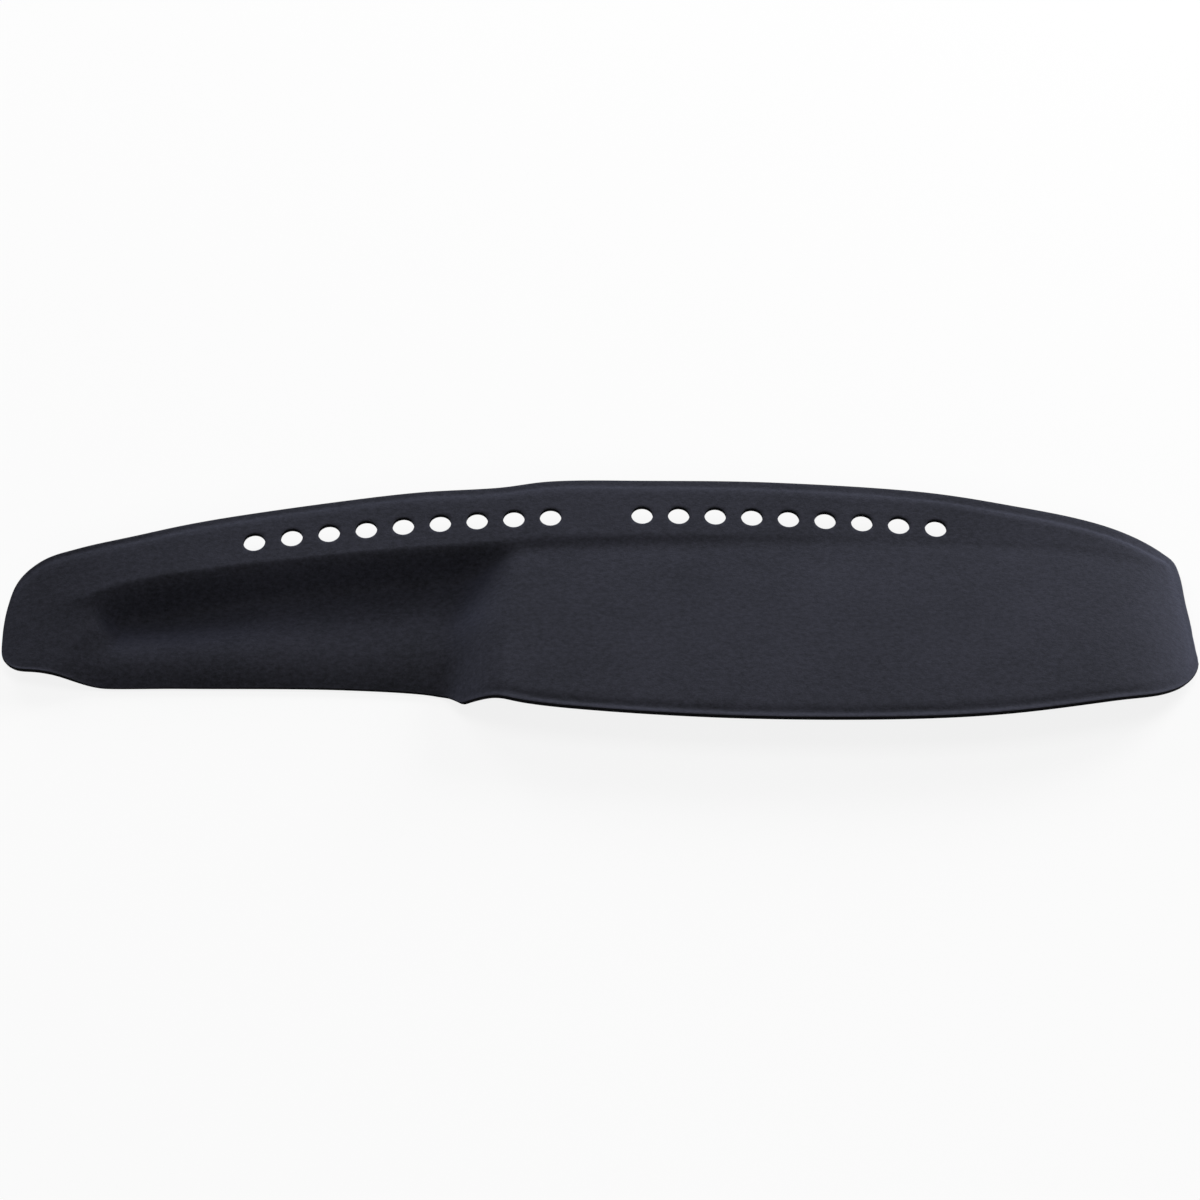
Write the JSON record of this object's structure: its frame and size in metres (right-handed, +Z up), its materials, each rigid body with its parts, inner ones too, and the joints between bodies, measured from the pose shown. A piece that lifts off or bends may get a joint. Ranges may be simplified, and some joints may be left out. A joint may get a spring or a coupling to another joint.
{
  "type": "dashboard cover mat",
  "caption": "Moulded foam-backed suede mat that lies over a car's dashboard, with a raised hood, a tray hollow, a pressed hem and rows of demister vents.",
  "frame": {"origin": "middle of the mat's box, on the floor that it rests on", "axes": "+X to the right along the windscreen edge, +Y forward to the windscreen, +Z up"},
  "size_m": [1.4026, 0.3572, 0.0578],
  "materials": {
    "suede_foam": "matt charcoal suede cloth on thin foam, short nap"
  },
  "bodies": {
    "root": {"dash_cover_mat": "suede_foam"}
  },
  "joints": []
}
